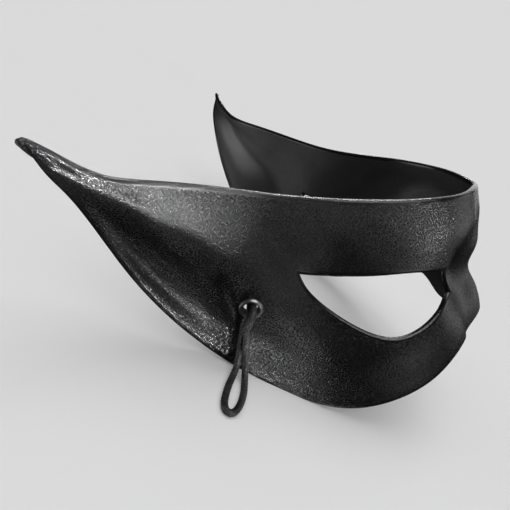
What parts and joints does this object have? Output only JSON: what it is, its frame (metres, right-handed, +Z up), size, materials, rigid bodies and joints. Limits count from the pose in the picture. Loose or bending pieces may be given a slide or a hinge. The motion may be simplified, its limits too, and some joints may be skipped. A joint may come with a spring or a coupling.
{
  "type": "elf mask",
  "caption": "Moulded black leather half mask that wraps the face, with upswept pointed ends, wide eye openings, and a metal eyelet and cord loop at each temple.",
  "frame": {"origin": "on the ground, at the middle of the footprint without the cords", "axes": "+X the way the mask faces, +Y to the wearer's left, +Z up as the mask lies on its lower edges, tipped back so the brow is raised"},
  "size_m": [0.2031, 0.2648, 0.1133],
  "materials": {
    "black_leather": "black veg-tan leather with a fine pebbled grain and a satin wax coat, edges burnished glossy",
    "dark_nickel": "dark nickel plate, polished",
    "waxed_cord": "round braided cord, waxed black"
  },
  "bodies": {
    "root": {"mask_shell": "black_leather", "eyelet_right": "dark_nickel", "eyelet_left": "dark_nickel", "cord_right": "waxed_cord", "cord_left": "waxed_cord"}
  },
  "joints": []
}
